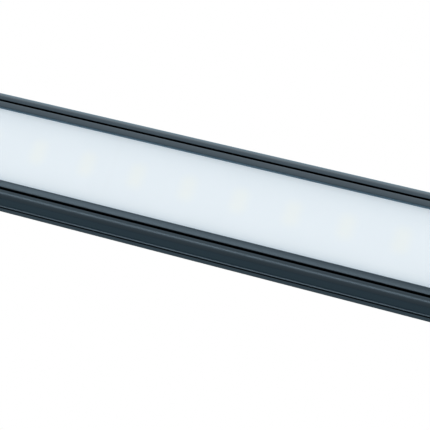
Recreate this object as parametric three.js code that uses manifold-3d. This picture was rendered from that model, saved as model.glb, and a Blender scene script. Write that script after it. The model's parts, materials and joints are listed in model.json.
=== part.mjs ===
// Vanity light bar: a shallow wall rail and a slim anodised light body that presses onto it.
// Millimetres. X runs along the bar, Z is up, and the wall is the plane y = 0 with the front at negative y.
// Cross-sections are drawn as (setback, z): setback is the distance behind the frontmost point of the body.
import * as THREE from 'three';
import { mergeVertices } from 'three/addons/utils/BufferGeometryUtils.js';
import Module from 'manifold-3d';

const wasm = await Module();
wasm.setup();

// ---- Driving dimensions ----
const bodyDepth = 20.5; // wall to frontmost point
const halfWidth = 16.6; // centre line to the outer side wall
const skirtHalfWidth = 16.9; // centre line to the skirt bead, the rail flange and the end cap
const ledPitch = 1000 / 60; // sixty light sources per metre
const ledCount = 18;
const barLength = ledPitch * ledCount; // length of every full-length extrusion
const fitGap = 0.05; // assembly clearance between neighbouring pieces

// Housing extrusion
const rimRadius = 2.25;
const rimSetback = 1.1; // the outer rims sit a little behind the lips of the bezel strips
const rimInnerZ = 14.1;
const rimRootSetback = 4.2;
const wallInnerZ = 15.1;
const ribSetback = 6.9;
const ribThickness = 1.0;
const ribInnerZ = 14.3;
const webSetback = 9.6;
const webThickness = 1.2;
const skirtSetback = 12.8;
const skirtFlare = 0.12; // the side wall steps out to the skirt bead over this depth
const skirtRear = 13.15;
const nestOuterZ = 15.4; // the recessed wall that nests between the rail's flanges
const nestInnerZ = 14.1;
const nestRear = 18.6;
const screwPort = { z: 12, setback: 12.9, bore: 1.25, outer: 2.2 };

// Bezel strips
const lipInnerZ = 11.35;
const lipOuterZ = 13.45;
const lipCrown = 0.12;
const lipShoulder = 0.65;
const lipEdgeRadius = 0.5;
const bezelLegInnerZ = 12.65;
const footOuterZ = 14.9;

// Diffuser
const diffuserFront = 2.15;
const diffuserThickness = 1.5;
const diffuserHalfWidth = 12.5;

// Light engine
const ledHeight = 0.9;
const ledSize = { along: 3.0, across: 5.6 };
const boardThickness = 1.0;
const boardHalfWidth = 7.5;
const boardEndInset = 1.2; // from the bar's middle and ends to each board
const tapeThickness = 0.2;
const tapeHalfWidth = 7.0;

// Wall rail
const railHalfLength = 149.8;
const railFlangeFront = 15.2;
const railFlangeInnerZ = 15.65;
const railPlateThickness = 1.5;
const slotX = 118;
const slotSize = { length: 12, width: 5 };
const screwSeat = { length: 22, width: 11, height: 0.4 }; // raised pad round each slot
const cableEntryX = -92;
const cableEntryRadius = 6;
const grommetSeat = { radius: 8, depth: 0.7 };
const lockScrewX = 135;
const lockScrewSetback = 17.6;

// End caps
const gasketThickness = 0.7;
const capThickness = 3;
const capRear = 20.2;

// Rear chamber
const clampX = -79;
const terminalX = -63;
const terminalSize = { along: 15, across: 17, front: 11, rear: 18.2 };
const terminalPoleZ = 4.2;
const terminalScrewOffset = 3.9;
const driverStart = -44;
const driverEnd = 50;
const driverBoard = { halfWidth: 8.6, front: 12.9, thickness: 1.2 };
const wireRadius = 0.75;
const wireSetback = 13.5;
const wireHole = { x: 138, z: 8.7, radius: 1.0 };

const colours = {
  anodised: [0x3a4349, 0.38, 0.85],
  opal: [0xe6eef4, 0.45, 0],
  board: [0xeef0ee, 0.5, 0],
  phosphor: [0xe9e39a, 0.4, 0],
  tape: [0xb9bec4, 0.8, 0],
  capPlastic: [0x23282c, 0.5, 0],
  gasketRubber: [0x17191b, 0.8, 0],
  steel: [0x8f959a, 0.3, 1],
  blackSteel: [0x1e2226, 0.4, 0.9],
  whitePlastic: [0xe4e3dc, 0.5, 0],
  driverPlastic: [0xdcdfe0, 0.5, 0],
  driverGreen: [0x2e6a45, 0.5, 0],
  ferrite: [0x3a3a3c, 0.6, 0],
  copperTape: [0xd8b24a, 0.5, 0],
  capacitorSleeve: [0x2a2c38, 0.4, 0],
  fuseGlass: [0xcfd6d2, 0.2, 0],
  brownWire: [0x6b3a1e, 0.5, 0],
  blueWire: [0x2457a6, 0.5, 0],
  redWire: [0xb02318, 0.5, 0],
  blackWire: [0x18181a, 0.5, 0],
};

const lightBar = new THREE.Group();
const at = (setback) => setback - bodyDepth;

// ---- Helpers ----
function finish(name) {
  const [color, roughness, metalness] = colours[name];
  return new THREE.MeshStandardMaterial({ color, roughness, metalness });
}

function addPart(name, geometry, finishName, parent = lightBar) {
  const mesh = new THREE.Mesh(geometry, finish(finishName));
  mesh.name = name;
  parent.add(mesh);
  return mesh;
}

// A flat outline as a THREE.Shape. An entry is a point, or an arc { centre, radius, from, to } in degrees.
function outline(entries) {
  const shape = new THREE.Shape();
  entries.forEach((entry, i) => {
    if (Array.isArray(entry)) {
      if (i === 0) shape.moveTo(...entry);
      else shape.lineTo(...entry);
      return;
    }
    const { centre, radius, from, to } = entry;
    const start = THREE.MathUtils.degToRad(from);
    const end = THREE.MathUtils.degToRad(to);
    shape.absarc(centre[0], centre[1], radius, start, end, to < from);
  });
  return shape;
}

// Extrudes a shape along an axis, centred on the origin of that axis. The shape's own x and y become the
// next two axes in the order X, Y, Z, X: for the X axis they are Y and Z.
function prism(shape, length, axis = 'x', curveSegments = 8) {
  const geometry = new THREE.ExtrudeGeometry(shape, { depth: length, bevelEnabled: false, curveSegments });
  geometry.translate(0, 0, -length / 2);
  const [x, y, z] = [new THREE.Vector3(1, 0, 0), new THREE.Vector3(0, 1, 0), new THREE.Vector3(0, 0, 1)];
  const bases = { x: [y, z, x], y: [z, x, y], z: [x, y, z] };
  return geometry.applyMatrix4(new THREE.Matrix4().makeBasis(...bases[axis]));
}

// A cross-section drawn in (setback, z), as an extrusion along the bar.
function section(entries, length, curveSegments = 8) {
  return prism(outline(entries), length, 'x', curveSegments).translate(0, -bodyDepth, 0);
}

function block(x, setback, z) {
  const geometry = new THREE.BoxGeometry(x[1] - x[0], setback[1] - setback[0], z[1] - z[0]);
  return geometry.translate((x[0] + x[1]) / 2, at((setback[0] + setback[1]) / 2), (z[0] + z[1]) / 2);
}

function rod(radius, length, axis, x, setback, z, segments = 24) {
  const geometry = new THREE.CylinderGeometry(radius, radius, length, segments);
  if (axis === 'x') geometry.rotateZ(Math.PI / 2);
  if (axis === 'z') geometry.rotateX(Math.PI / 2);
  return geometry.translate(x, at(setback), z);
}

function toSolid(geometry) {
  const plain = geometry.clone();
  plain.deleteAttribute('normal');
  plain.deleteAttribute('uv');
  const merged = mergeVertices(plain, 1e-4);
  const triVerts = new Uint32Array(merged.index.array);
  const vertProperties = new Float32Array(merged.attributes.position.array);
  return new wasm.Manifold(new wasm.Mesh({ numProp: 3, vertProperties, triVerts }));
}

function toGeometry(solid) {
  const mesh = solid.getMesh();
  const geometry = new THREE.BufferGeometry();
  geometry.setAttribute('position', new THREE.BufferAttribute(mesh.vertProperties, 3));
  geometry.setIndex(new THREE.BufferAttribute(mesh.triVerts, 1));
  geometry.computeVertexNormals();
  return geometry;
}

// Joins the first list of geometries and cuts the second from them.
function carve(joined, cut = []) {
  const body = joined.map(toSolid).reduce((a, b) => a.add(b));
  return toGeometry(cut.map(toSolid).reduce((a, b) => a.subtract(b), body));
}

// The same geometry turned half a turn about Y, which swaps both ends and both sides.
function turned(geometry) {
  return geometry.clone().rotateY(Math.PI);
}

// ---- Housing: two side walls with rounded rims, a web between them and four screw ports ----
function sideWall() {
  const rimCentre = [rimSetback + rimRadius, halfWidth - rimRadius];
  const ribRear = ribSetback + ribThickness;
  return section([
    [rimSetback, rimInnerZ],
    { centre: rimCentre, radius: rimRadius, from: 180, to: 90 },
    [skirtSetback, halfWidth],
    [skirtSetback + skirtFlare, skirtHalfWidth],
    [skirtRear, skirtHalfWidth],
    [skirtRear, nestOuterZ],
    [nestRear, nestOuterZ],
    [nestRear, nestInnerZ],
    [webSetback, nestInnerZ],
    [webSetback, wallInnerZ],
    [ribRear, wallInnerZ],
    [ribRear, ribInnerZ],
    [ribSetback, ribInnerZ],
    [ribSetback, wallInnerZ],
    [rimRootSetback, wallInnerZ],
    [rimRootSetback, rimInnerZ],
  ], barLength, 20);
}

function housing() {
  const webRear = webSetback + webThickness;
  const web = block([-barLength / 2, barLength / 2], [webSetback, webRear], [-nestInnerZ, nestInnerZ]);
  const ports = [];
  const bores = [];
  for (const side of [-1, 1]) {
    ports.push(rod(screwPort.outer, barLength, 'x', 0, screwPort.setback, side * screwPort.z, 20));
    bores.push(rod(screwPort.bore, barLength + 2, 'x', 0, screwPort.setback, side * screwPort.z, 16));
    bores.push(rod(wireHole.radius, 4, 'y', wireHole.x, (webSetback + webRear) / 2, side * wireHole.z, 16));
  }
  return carve([sideWall(), turned(sideWall()), web, ...ports], bores);
}

// ---- Bezel strips: a lip in front of the diffuser, a slot for its edge and a snap-in foot ----
function bezelStrip() {
  const shoulderCentre = [lipShoulder + lipEdgeRadius, lipOuterZ - lipEdgeRadius];
  const slotRear = diffuserFront + diffuserThickness + 0.15;
  const footFront = ribSetback + ribThickness + fitGap;
  const footRear = webSetback - fitGap;
  return section([
    [lipCrown + 0.15, lipInnerZ],
    [lipCrown, lipInnerZ + 0.15],
    [lipShoulder, lipOuterZ - lipEdgeRadius],
    { centre: shoulderCentre, radius: lipEdgeRadius, from: 180, to: 90 },
    [footFront, lipOuterZ],
    [footFront, footOuterZ],
    [footRear, footOuterZ],
    [footRear, bezelLegInnerZ],
    [slotRear + 1.1, bezelLegInnerZ],
    [slotRear + 0.6, bezelLegInnerZ - 0.8],
    [slotRear, bezelLegInnerZ - 0.8],
    [slotRear, bezelLegInnerZ],
    [diffuserFront - fitGap, bezelLegInnerZ],
    [diffuserFront - fitGap, lipInnerZ],
  ], barLength);
}

function diffuser() {
  const rear = diffuserFront + diffuserThickness;
  const end = barLength / 2 - 2 * fitGap;
  return block([-end, end], [diffuserFront, rear], [-diffuserHalfWidth, diffuserHalfWidth]);
}

// ---- Light engine: two boards end to end on adhesive tape, joined by a small connector ----
const tapeRear = webSetback - fitGap;
const boardRear = tapeRear - tapeThickness - fitGap;
const boardFront = boardRear - boardThickness;
const ledRear = boardFront - fitGap;

function addLightEngine() {
  const inner = boardEndInset;
  const outer = barLength / 2 - boardEndInset;
  for (const [side, x] of [['left', [-outer, -inner]], ['right', [inner, outer]]]) {
    const tape = block(x, [tapeRear - tapeThickness, tapeRear], [-tapeHalfWidth, tapeHalfWidth]);
    const board = block(x, [boardFront, boardRear], [-boardHalfWidth, boardHalfWidth]);
    addPart(`thermal_tape_${side}`, tape, 'tape');
    addPart(`led_board_${side}`, board, 'board');
  }
  addPart('board_link_connector', block([-3, 3], [ledRear - 1.4, ledRear], [-3.5, 3.5]), 'whitePlastic');
  const package5630 = new THREE.BoxGeometry(ledSize.along, ledHeight, ledSize.across);
  for (let i = 0; i < ledCount; i++) {
    const led = addPart(`led_${String(i + 1).padStart(2, '0')}`, package5630, 'phosphor');
    led.position.set((i + 0.5) * ledPitch - barLength / 2, at(ledRear - ledHeight / 2), 0);
  }
}

// ---- End caps with their gaskets and screws ----
function endOutline(half, front, rear, radius) {
  return [
    [rear, -half],
    [rear, half],
    { centre: [front + radius, half - radius], radius, from: 90, to: 180 },
    { centre: [front + radius, radius - half], radius, from: 180, to: 270 },
  ];
}

function endCap(inner) {
  const plate = section(endOutline(skirtHalfWidth, 0, capRear, 2.65), capThickness);
  plate.translate(inner + capThickness / 2, 0, 0);
  const outer = inner + capThickness;
  const holes = [];
  for (const side of [-1, 1]) {
    holes.push(rod(1.4, 10, 'x', inner, screwPort.setback, side * screwPort.z, 20));
    holes.push(rod(2.8, 3, 'x', outer, screwPort.setback, side * screwPort.z));
  }
  return carve([plate], holes);
}

function endGasket(inner) {
  const sheet = section(endOutline(16.2, 1.4, 18.4, 2), gasketThickness);
  sheet.translate(inner + gasketThickness / 2, 0, 0);
  const holes = [-1, 1].map((side) => rod(1.4, 4, 'x', inner, screwPort.setback, side * screwPort.z, 20));
  return carve([sheet], holes);
}

// A pan-head screw along X with its head at the outer end, drawn round its own axis.
function capScrew() {
  const shank = new THREE.CylinderGeometry(1.1, 1.1, 12, 16).rotateZ(Math.PI / 2).translate(-5.7, 0, 0);
  const head = new THREE.CylinderGeometry(2.5, 2.5, 1.3, 24).rotateZ(Math.PI / 2).translate(0.65, 0, 0);
  const cross = [new THREE.BoxGeometry(1.6, 0.6, 3), new THREE.BoxGeometry(1.6, 3, 0.6)];
  return carve([shank, head], cross.map((slot) => slot.translate(1.4, 0, 0)));
}

function addEnds() {
  const gasketInner = barLength / 2 + fitGap;
  const capInner = gasketInner + gasketThickness + fitGap;
  const headSeat = capInner + capThickness - 1.5 + fitGap;
  for (const [side, sign] of [['right', 1], ['left', -1]]) {
    const end = new THREE.Group();
    end.rotation.y = sign > 0 ? 0 : Math.PI;
    lightBar.add(end);
    addPart(`end_gasket_${side}`, endGasket(gasketInner), 'gasketRubber', end);
    addPart(`end_cap_${side}`, endCap(capInner), 'capPlastic', end);
    for (const [level, up] of [['upper', 1], ['lower', -1]]) {
      const screw = addPart(`end_cap_screw_${side}_${level}`, capScrew(), 'blackSteel', end);
      screw.position.set(headSeat, at(screwPort.setback), sign * up * screwPort.z);
    }
  }
}

// ---- Wall rail: a shallow channel with two fixing slots, a cable entry and two lock screws ----
function wallRail() {
  const plateFront = bodyDepth - railPlateThickness;
  const channel = [section([
    [bodyDepth, -skirtHalfWidth],
    [bodyDepth, skirtHalfWidth],
    [railFlangeFront, skirtHalfWidth],
    [railFlangeFront, railFlangeInnerZ],
    [plateFront, railFlangeInnerZ],
    [plateFront, -railFlangeInnerZ],
    [railFlangeFront, -railFlangeInnerZ],
    [railFlangeFront, -skirtHalfWidth],
  ], 2 * railHalfLength)];
  const cuts = [
    rod(cableEntryRadius, 10, 'y', cableEntryX, bodyDepth, 0, 32),
    rod(grommetSeat.radius, 2 * grommetSeat.depth, 'y', cableEntryX, bodyDepth, 0, 32),
  ];
  for (const side of [-1, 1]) {
    const reach = (slotSize.length - slotSize.width) / 2;
    const radius = slotSize.width / 2;
    const slot = outline([
      [-radius, -reach],
      { centre: [0, -reach], radius, from: 180, to: 360 },
      { centre: [0, reach], radius, from: 0, to: 180 },
    ]);
    const seatX = [side * slotX - screwSeat.length / 2, side * slotX + screwSeat.length / 2];
    const seatZ = [-screwSeat.width / 2, screwSeat.width / 2];
    channel.push(block(seatX, [plateFront - screwSeat.height, plateFront + 1], seatZ));
    cuts.push(prism(slot, 10, 'y').translate(side * slotX, 0, 0));
    cuts.push(rod(1.6, 6, 'z', side * lockScrewX, lockScrewSetback, -skirtHalfWidth, 20));
  }
  return carve(channel, cuts);
}

function cableGrommet() {
  const [bore, neck, lip] = [3.5, cableEntryRadius - 0.15, grommetSeat.radius - 0.15];
  const seat = fitGap - grommetSeat.depth;
  const plateFront = -railPlateThickness - fitGap;
  const front = plateFront - 1.9;
  const profile = [
    [bore, -fitGap], [bore, front], [bore + 1.1, front], [lip - 0.6, plateFront - 1.2], [lip, plateFront],
    [neck, plateFront], [neck, seat], [lip, seat], [lip, -fitGap], [bore, -fitGap],
  ];
  const points = profile.map(([r, y]) => new THREE.Vector2(r, y));
  return new THREE.LatheGeometry(points, 32).translate(cableEntryX, 0, 0);
}

// A headless M3 screw that bears on the recessed wall of the housing.
function lockScrew() {
  const length = skirtHalfWidth - nestOuterZ - 2 * fitGap;
  const thread = new THREE.CylinderGeometry(1.45, 1.45, length, 20).rotateX(Math.PI / 2);
  const socket = new THREE.CylinderGeometry(0.85, 0.85, 1.6, 6).rotateX(Math.PI / 2);
  return carve([thread], [socket.translate(0, 0, -length / 2)]);
}

function addRail() {
  addPart('wall_rail', wallRail(), 'anodised');
  addPart('cable_grommet', cableGrommet(), 'gasketRubber');
  for (const [side, sign] of [['left', -1], ['right', 1]]) {
    const screw = addPart(`rail_lock_screw_${side}`, lockScrew(), 'blackSteel');
    screw.position.set(sign * lockScrewX, at(lockScrewSetback), -(skirtHalfWidth + nestOuterZ) / 2);
  }
}

// ---- Rear chamber: cable clamp, terminal block, driver and wires ----
const chamberFront = webSetback + webThickness + fitGap;

function cableClamp() {
  const [inner, strap, foot, reach] = [3.7, 1.3, 1.5, 9.4];
  const crown = [chamberFront + 2.2, 0];
  const strip = section([
    [chamberFront, -reach],
    [chamberFront, -inner],
    [crown[0], -inner],
    { centre: crown, radius: inner, from: -90, to: 90 },
    [chamberFront, inner],
    [chamberFront, reach],
    [chamberFront + foot, reach],
    [chamberFront + foot, inner + strap],
    [crown[0], inner + strap],
    { centre: crown, radius: inner + strap, from: 90, to: -90 },
    [chamberFront + foot, -inner - strap],
    [chamberFront + foot, -reach],
  ], 7).translate(clampX, 0, 0);
  return carve([strip], [-1, 1].map((side) => rod(1.1, 8, 'y', clampX, chamberFront, side * 7.4, 16)));
}

// A slotted screw along Y with its head towards the wall.
function clampScrew() {
  const head = new THREE.CylinderGeometry(1.7, 1.7, 1.1, 20).translate(0, 0.55, 0);
  const shank = new THREE.CylinderGeometry(0.9, 0.9, 1.8, 16).translate(0, -0.5, 0);
  return carve([head, shank], [new THREE.BoxGeometry(4, 0.8, 0.5).translate(0, 1.1, 0)]);
}

function terminalBlock() {
  const { along, across, front, rear } = terminalSize;
  const [start, end] = [terminalX - along / 2, terminalX + along / 2];
  const body = block([start, end], [front, rear], [-across / 2, across / 2]);
  const cuts = [block([start - 1, end + 1], [rear - 2.4, rear + 1], [-0.5, 0.5])]; // between the poles
  for (const side of [-1, 1]) {
    cuts.push(rod(1.4, along + 2, 'x', terminalX, wireSetback, side * terminalPoleZ, 16));
    for (const x of [terminalX - terminalScrewOffset, terminalX + terminalScrewOffset]) {
      cuts.push(rod(1.9, 7, 'y', x, rear, side * terminalPoleZ, 20));
    }
  }
  return carve([body], cuts);
}

function terminalScrew() {
  const head = new THREE.CylinderGeometry(1.7, 1.7, 1.5, 20);
  return carve([head], [new THREE.BoxGeometry(4, 0.8, 0.5).translate(0, 0.75, 0)]);
}

function addTerminals() {
  addPart('cable_clamp', cableClamp(), 'whitePlastic');
  for (const [name, side] of [['upper', 1], ['lower', -1]]) {
    const screw = addPart(`cable_clamp_screw_${name}`, clampScrew(), 'steel');
    screw.position.set(clampX, at(chamberFront + 1.5 + fitGap), side * 7.4);
  }
  addPart('terminal_block', terminalBlock(), 'whitePlastic');
  for (const [pole, side] of [['live', 1], ['neutral', -1]]) {
    for (const [use, end] of [['supply', -1], ['driver', 1]]) {
      const screw = addPart(`terminal_screw_${pole}_${use}`, terminalScrew(), 'steel');
      screw.position.set(terminalX + end * terminalScrewOffset, at(16.2), side * terminalPoleZ);
    }
  }
}

function addDriver() {
  const [innerZ, wallZ] = [8.8, 9.6];
  const floor = chamberFront + 0.8;
  const cradle = section([
    [chamberFront, -wallZ], [chamberFront, wallZ], [15.6, wallZ], [15.6, innerZ],
    [floor, innerZ], [floor, -innerZ], [15.6, -innerZ], [15.6, -wallZ],
  ], driverEnd - driverStart + 4).translate((driverStart + driverEnd) / 2, 0, 0);
  addPart('driver_cradle', cradle, 'driverPlastic');
  const boardBack = driverBoard.front + driverBoard.thickness;
  const boardZ = [-driverBoard.halfWidth, driverBoard.halfWidth];
  const board = block([driverStart, driverEnd], [driverBoard.front, boardBack], boardZ);
  addPart('driver_board', board, 'driverGreen');
  const base = boardBack + fitGap;
  addPart('driver_transformer', block([6, 20], [base, base + 4.3], [-6.5, 6.5]), 'ferrite');
  addPart('driver_choke', block([-16, -8], [base, base + 4], [-4, 4]), 'copperTape');
  addPart('driver_capacitor_input', rod(2.1, 11, 'x', -1, base + 2.15, -5), 'capacitorSleeve');
  addPart('driver_capacitor_output', rod(2.1, 12, 'x', 31, base + 2.15, 0), 'capacitorSleeve');
  addPart('driver_fuse', rod(1.2, 7, 'x', -30, base + 1.25, 3, 16), 'fuseGlass');
}

// A wire through the points (x, setback, z), as a round tube with flat ends.
function wire(points) {
  const route = points.map(([x, setback, z]) => new THREE.Vector3(x, at(setback), z));
  const extrudePath = new THREE.CatmullRomCurve3(route, false, 'centripetal');
  const ring = new THREE.Shape().absarc(0, 0, wireRadius, 0, 2 * Math.PI, false);
  const steps = Math.ceil(extrudePath.getLength() / (2.2 * wireRadius));
  return new THREE.ExtrudeGeometry(ring, { steps, bevelEnabled: false, extrudePath, curveSegments: 8 });
}

function addWires() {
  const fromTerminal = terminalX + terminalSize.along / 2 - 3;
  const onDriver = driverBoard.front + driverBoard.thickness + wireRadius + 2 * fitGap;
  for (const [name, side, colour] of [['live_wire', 1, 'brownWire'], ['neutral_wire', -1, 'blueWire']]) {
    addPart(name, wire([
      [fromTerminal, wireSetback, side * terminalPoleZ],
      [fromTerminal + 4, wireSetback, side * terminalPoleZ],
      [fromTerminal + 8, wireSetback + 0.2, side * (terminalPoleZ + 0.6)],
      [driverStart - 2, onDriver, side * (terminalPoleZ + 1)],
      [driverStart + 4, onDriver, side * (terminalPoleZ + 1)],
    ]), colour);
  }
  const { x, z } = wireHole;
  const onBoard = ledRear - wireRadius - fitGap;
  const poles = [['led_wire_positive', 1, 'redWire'], ['led_wire_negative', -1, 'blackWire']];
  for (const [name, side, colour] of poles) {
    addPart(name, wire([
      [driverEnd - 4, onDriver, side * 3],
      [driverEnd + 2, onDriver, side * 3],
      [driverEnd + 12, wireSetback, side * 3.6],
      [driverEnd + 30, wireSetback + 0.6, side * 6.6],
      [driverEnd + 52, wireSetback, side * 4.6],
      [x - 16, wireSetback + 0.7, side * 7.4],
      [x - 6, wireSetback + 0.6, side * z],
      [x - 1.6, wireSetback - 0.4, side * z],
      [x, wireSetback - 2.4, side * z],
      [x, webSetback, side * z],
      [x + 0.5, onBoard + 0.2, side * z],
      [x + 2.6, onBoard - 1.2, side * (z - 0.4)],
      [x + 5.6, onBoard - 0.9, side * (z - 1.8)],
      [x + 7.2, onBoard, side * (z - 2.6)],
      [x + 9, onBoard, side * (z - 3.2)],
    ]), colour);
  }
}

// ---- Assembly ----
addPart('housing', housing(), 'anodised');
addPart('upper_bezel_strip', bezelStrip(), 'anodised');
addPart('lower_bezel_strip', turned(bezelStrip()), 'anodised');
addPart('diffuser', diffuser(), 'opal');
addLightEngine();
addEnds();
addTerminals();
addDriver();
addWires();
addRail();

export default lightBar;
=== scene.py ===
import json
import math

import bmesh
import bpy
from mathutils import Matrix, Quaternion, Vector


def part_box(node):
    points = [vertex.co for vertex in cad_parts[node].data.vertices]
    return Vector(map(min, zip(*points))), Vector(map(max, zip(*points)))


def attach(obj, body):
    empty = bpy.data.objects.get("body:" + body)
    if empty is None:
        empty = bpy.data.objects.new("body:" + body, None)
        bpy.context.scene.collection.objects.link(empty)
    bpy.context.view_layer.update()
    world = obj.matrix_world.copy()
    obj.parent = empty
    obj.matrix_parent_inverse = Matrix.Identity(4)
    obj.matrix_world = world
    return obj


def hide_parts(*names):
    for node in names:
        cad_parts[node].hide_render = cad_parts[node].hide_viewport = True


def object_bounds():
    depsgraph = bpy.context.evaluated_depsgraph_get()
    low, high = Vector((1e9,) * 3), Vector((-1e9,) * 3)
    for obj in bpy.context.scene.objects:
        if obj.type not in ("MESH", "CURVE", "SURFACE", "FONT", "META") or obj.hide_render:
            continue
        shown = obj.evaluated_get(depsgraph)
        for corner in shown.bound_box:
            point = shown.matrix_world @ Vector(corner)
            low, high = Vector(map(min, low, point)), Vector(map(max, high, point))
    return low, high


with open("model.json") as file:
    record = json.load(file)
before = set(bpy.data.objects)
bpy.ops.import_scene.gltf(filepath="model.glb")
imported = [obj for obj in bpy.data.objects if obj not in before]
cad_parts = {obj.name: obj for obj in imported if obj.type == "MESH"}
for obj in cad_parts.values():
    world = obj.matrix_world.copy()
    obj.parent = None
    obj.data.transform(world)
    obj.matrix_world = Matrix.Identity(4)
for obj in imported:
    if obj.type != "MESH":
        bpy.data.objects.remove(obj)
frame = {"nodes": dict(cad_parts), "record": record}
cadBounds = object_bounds()
nodes = frame["nodes"]
print("frame loaded:", len(nodes), "nodes")

# Sections are drawn in millimetres as (setback, z), setback being the distance behind the frontmost plane.
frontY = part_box("end_cap_right")[0].y
barStart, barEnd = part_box("housing")[0].x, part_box("housing")[1].x
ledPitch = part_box("led_02")[0].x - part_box("led_01")[0].x


def mm(value):
    return value / 1000


def place(x, setback, z):
    return Vector((x, frontY + mm(setback), mm(z)))


def nodeMiddle(node):
    low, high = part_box(node)
    return (low + high) / 2


# The camera looks at the bar from a little below and from its right, rolled about its own axis.
cameraView = {
    "lens": 123.755,
    "sensor": 36,
    "azimuth": -17.65,
    "elevation": -12.936,
    "roll": 17.961,
    "target": (0.0366, -0.0205, -0.00597),
    "distance": 0.4365,
}


def makeCamera():
    azimuth, elevation = (math.radians(cameraView[key]) for key in ("azimuth", "elevation"))
    forward = Vector((
        math.sin(azimuth) * math.cos(elevation),
        math.cos(azimuth) * math.cos(elevation),
        -math.sin(elevation),
    ))
    data = bpy.data.cameras.new("studioCamera")
    data.lens = cameraView["lens"]
    data.sensor_width = cameraView["sensor"]
    data.clip_start = 0.01
    camera = bpy.data.objects.new("studioCamera", data)
    camera.rotation_mode = "QUATERNION"
    camera.location = Vector(cameraView["target"]) - forward * cameraView["distance"]
    roll = Matrix.Rotation(math.radians(cameraView["roll"]), 3, "Z")
    turn = forward.to_track_quat("-Z", "Y").to_matrix() @ roll
    camera.rotation_quaternion = turn.to_quaternion()
    bpy.context.scene.collection.objects.link(camera)
    bpy.context.scene.camera = camera


studio = {
    "backdrop": 1.0,
    "tint": (0.93, 0.97, 1.0),
    "skyTint": (1.009, 0.906, 0.855),
    "skyFrom": 55,
    "skyTo": 165,
    "floorDrop": 1.2,
    "floorSize": 60.0,
    "floorColour": (0.9, 0.9, 0.9, 1),
    "floorRoughness": 0.8,
    "surroundings": [  # how bright it is all round the bar, by degrees up from straight ahead
        (-180, 0.13), (-150, 0.20), (-116, 0.33), (-75, 0.36), (-42, 0.38), (-12, 0.34),
        (4, 0.42), (15, 0.78), (26, 0.86), (42, 0.70), (54, 0.70), (66, 1.65),
        (80, 1.85), (100, 1.95), (130, 1.50), (160, 0.80), (180, 0.30),
    ],
    "lights": [  # name, place, aimed at, width, height, degrees of roll, watts, lights gloss, lights matt
        ("lowStrip", (-0.3, -0.95, -0.55), (0.03, 0, 0), 1.5, 0.15, -27, 2.3, True, False),
        ("frontFill", (0.2, -1.5, 0.5), (0.0, 0, 0), 1.2, 1.2, 0, 1.0, False, True),
    ],
}


def makeWorld():
    surroundings = studio["surroundings"]
    world = bpy.data.worlds.new("studioWorld")
    bpy.context.scene.world = world
    world.use_nodes = True
    tree = world.node_tree
    tree.nodes.clear()
    link = tree.links.new
    direction = tree.nodes.new("ShaderNodeTexCoord")
    parts = tree.nodes.new("ShaderNodeSeparateXYZ")
    link(direction.outputs["Generated"], parts.inputs[0])
    ahead = tree.nodes.new("ShaderNodeMath")
    ahead.operation = "MULTIPLY"
    ahead.inputs[1].default_value = -1
    link(parts.outputs["Y"], ahead.inputs[0])
    angle = tree.nodes.new("ShaderNodeMath")
    angle.operation = "ARCTAN2"
    link(parts.outputs["Z"], angle.inputs[0])
    link(ahead.outputs[0], angle.inputs[1])
    turn = tree.nodes.new("ShaderNodeMapRange")
    turn.inputs["From Min"].default_value = -math.pi
    turn.inputs["From Max"].default_value = math.pi
    link(angle.outputs[0], turn.inputs["Value"])
    ramp = tree.nodes.new("ShaderNodeValToRGB")
    brightest = max(level for degrees, level in surroundings)
    stops = ramp.color_ramp.elements
    while len(stops) < len(surroundings):
        stops.new(0.5)
    for stop, (degrees, level) in zip(stops, surroundings):
        overhead = studio["skyFrom"] < degrees < studio["skyTo"]
        tint = studio["skyTint"] if overhead else studio["tint"]
        stop.position = (degrees + 180) / 360
        stop.color = [part * level / brightest for part in tint] + [1]
    link(turn.outputs[0], ramp.inputs[0])
    lighting = tree.nodes.new("ShaderNodeBackground")
    lighting.inputs["Strength"].default_value = brightest
    link(ramp.outputs[0], lighting.inputs["Color"])
    backdrop = tree.nodes.new("ShaderNodeBackground")
    backdrop.inputs["Color"].default_value = (1, 1, 1, 1)
    backdrop.inputs["Strength"].default_value = studio["backdrop"]
    seen = tree.nodes.new("ShaderNodeLightPath")
    mix = tree.nodes.new("ShaderNodeMixShader")
    output = tree.nodes.new("ShaderNodeOutputWorld")
    link(seen.outputs["Is Camera Ray"], mix.inputs[0])
    link(lighting.outputs[0], mix.inputs[1])
    link(backdrop.outputs[0], mix.inputs[2])
    link(mix.outputs[0], output.inputs["Surface"])


def makeLights():
    for name, spot, target, width, height, roll, watts, onGloss, onMatt in studio["lights"]:
        data = bpy.data.lights.new(name, "AREA")
        data.shape = "RECTANGLE"
        data.size, data.size_y = width, height
        data.energy = watts
        lamp = bpy.data.objects.new(name, data)
        lamp.location = spot
        lamp.rotation_mode = "QUATERNION"
        facing = (Vector(target) - Vector(spot)).to_track_quat("-Z", "Y")
        lamp.rotation_quaternion = facing @ Quaternion((0, 0, 1), math.radians(roll))
        lamp.visible_glossy, lamp.visible_diffuse = onGloss, onMatt
        bpy.context.scene.collection.objects.link(lamp)


def makeFloor():
    bm = bmesh.new()
    bmesh.ops.create_grid(bm, x_segments=1, y_segments=1, size=studio["floorSize"] / 2)
    bmesh.ops.translate(bm, verts=bm.verts, vec=(0, 0, cadBounds[0].z - studio["floorDrop"]))
    mesh = bpy.data.meshes.new("studioFloor")
    bm.to_mesh(mesh)
    bm.free()
    floor = bpy.data.objects.new("studioFloor", mesh)
    floor.visible_glossy = False
    bpy.context.scene.collection.objects.link(floor)
    material = bpy.data.materials.new("paleFloor")
    material.use_nodes = True
    shader = material.node_tree.nodes["Principled BSDF"]
    shader.inputs["Base Color"].default_value = studio["floorColour"]
    shader.inputs["Roughness"].default_value = studio["floorRoughness"]
    mesh.materials.append(material)


bpy.context.scene.view_settings.view_transform = "Standard"
makeCamera()
makeWorld()
makeLights()
makeFloor()
print("studio ready")


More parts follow.
